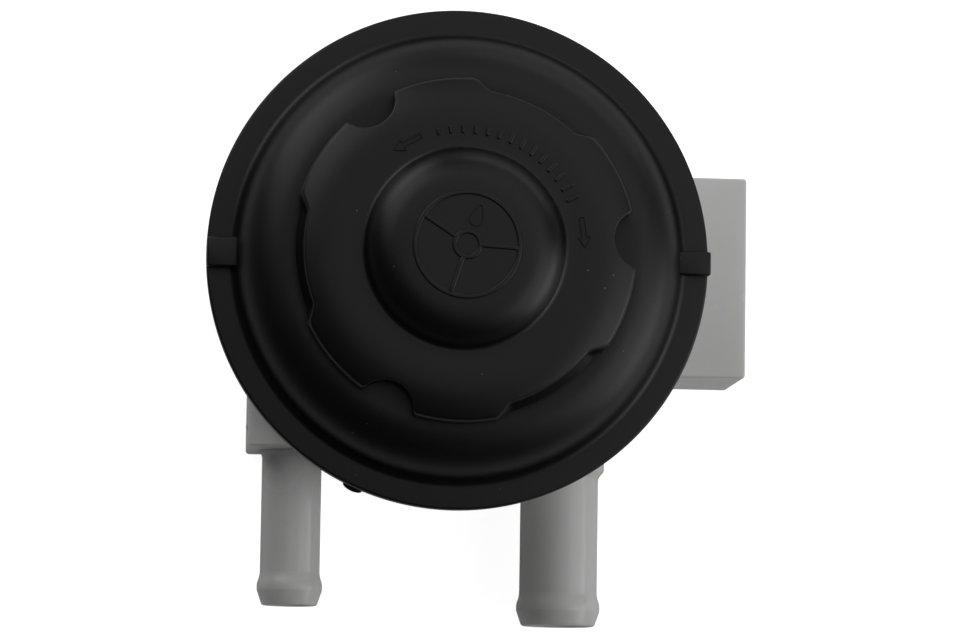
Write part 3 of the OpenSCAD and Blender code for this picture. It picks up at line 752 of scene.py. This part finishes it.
def camera():
    """Looks down from 0.8 m, from a little to the left of and below the cap's axis."""
    lean_x, lean_y, roll = 0.0834, 0.1096, 0.87
    away = 801 * MM
    aim = Vector((4.12 * MM, -11.79 * MM, FLANGE_Z))
    towards = Vector((-lean_x, -lean_y, 1)).normalized()
    side = Vector((0, 1, 0)).cross(towards).normalized()
    up = towards.cross(side)
    turn = Matrix((side, up, towards)).transposed().to_4x4()
    obj = bpy.data.objects.new("camera", bpy.data.cameras.new("camera"))
    obj.data.sensor_width = 36
    obj.data.lens = 157.7
    obj.data.clip_end = 10
    obj.matrix_world = turned(roll) @ Matrix.Translation(aim + towards * away) @ turn
    bpy.context.scene.collection.objects.link(obj)
    bpy.context.scene.camera = obj


def softbox(name, azimuth, elevation, distance, width, height, radiance):
    """A soft rectangular light that faces the cap, placed by its direction from it."""
    a, e = math.radians(azimuth), math.radians(elevation)
    away = Vector((math.cos(a) * math.cos(e), math.sin(a) * math.cos(e), math.sin(e)))
    light = bpy.data.lights.new(name, "AREA")
    light.shape = "RECTANGLE"
    light.size = width
    light.size_y = height
    light.energy = radiance * math.pi * width * height
    lamp = bpy.data.objects.new(name, light)
    lamp.location = Vector((0, 0, FLANGE_Z)) + away * distance
    lamp.rotation_euler = away.to_track_quat("Z", "Y").to_euler()
    bpy.context.scene.collection.objects.link(lamp)


def studio():
    """Soft boxes at the upper left and right, a weaker sky, and low strips that light the rims."""
    softbox("upper_left_box", 130, 35, 0.75, 0.5, 0.7, 1.1)
    softbox("right_box", 342, 32, 0.7, 0.5, 0.75, 1.1)
    softbox("far_box", 55, 45, 0.8, 0.75, 0.5, 0.45)
    softbox("overhead_box", 50, 80, 0.6, 0.46, 0.46, 0.38)
    softbox("left_wall", 125, 10, 0.9, 0.6, 0.2, 1.5)
    softbox("far_wall", 60, 10, 0.9, 1.0, 0.2, 1.25)
    softbox("right_wall", 345, 10, 0.9, 0.6, 0.2, 1.5)
    world = bpy.data.worlds.new("studio")
    bpy.context.scene.world = world
    world.use_nodes = True
    background = world.node_tree.nodes["Background"]
    background.inputs["Color"].default_value = (1, 1, 1, 1)
    background.inputs["Strength"].default_value = 0.02


def floor():
    """A pale floor that reads as white and keeps the object's shadow."""
    bm = bmesh.new()
    bmesh.ops.create_grid(bm, x_segments=1, y_segments=1, size=3)
    obj = mesh_object("floor", bm)
    material = bpy.data.materials.new("floor")
    material.use_nodes = True
    tree = material.node_tree
    paint = tree.nodes["Principled BSDF"]
    paint.inputs["Base Color"].default_value = (0.8, 0.8, 0.8, 1)
    paint.inputs["Roughness"].default_value = 0.9
    rays = tree.nodes.new("ShaderNodeLightPath")
    full_glow, glossy_share = 0.9, 0.08
    seen = math_node(tree, "MAXIMUM", rays.outputs["Is Camera Ray"], rays.outputs["Is Transmission Ray"])
    mirrored = math_node(tree, "MULTIPLY", rays.outputs["Is Glossy Ray"], glossy_share)
    seen = math_node(tree, "MAXIMUM", seen, mirrored)
    glow = tree.nodes.new("ShaderNodeEmission")
    tree.links.new(math_node(tree, "MULTIPLY", seen, full_glow), glow.inputs["Strength"])
    both = tree.nodes.new("ShaderNodeAddShader")
    tree.links.new(paint.outputs[0], both.inputs[0])
    tree.links.new(glow.outputs[0], both.inputs[1])
    tree.links.new(both.outputs[0], tree.nodes["Material Output"].inputs["Surface"])
    obj.data.materials.append(material)


camera()
studio()
floor()
finish_piece(tank(), "tank", NYLON, ["lower_shell"])
finish_piece(mesh_object("cover", cover()), "tank", COVER_BLACK, ["upper_shell"])
finish_piece(mesh_object("cap", cap(), 50), "cap", CAP_BLACK, ["cap_shell"])
finish_piece(mesh_object("cap_symbol", fluid_symbol(), 50), "cap", CAP_BLACK)
finish_piece(mesh_object("cap_turn_marks", turn_marks(), 50), "cap", CAP_BLACK)

for node, material in (("cap_gasket", RUBBER), ("cap_liner", GREY), ("vent_felt", FELT), ("dipstick", WHITE),
                       ("baffle_plate", NYLON), ("filter_frame", GREY), ("filter_screen", MESH),
                       ("return_standpipe", NYLON), ("collector_magnet", FERRITE)):
    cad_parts[node].data.materials.clear()
    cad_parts[node].data.materials.append(material)

bpy.context.scene.view_settings.view_transform = "Standard"
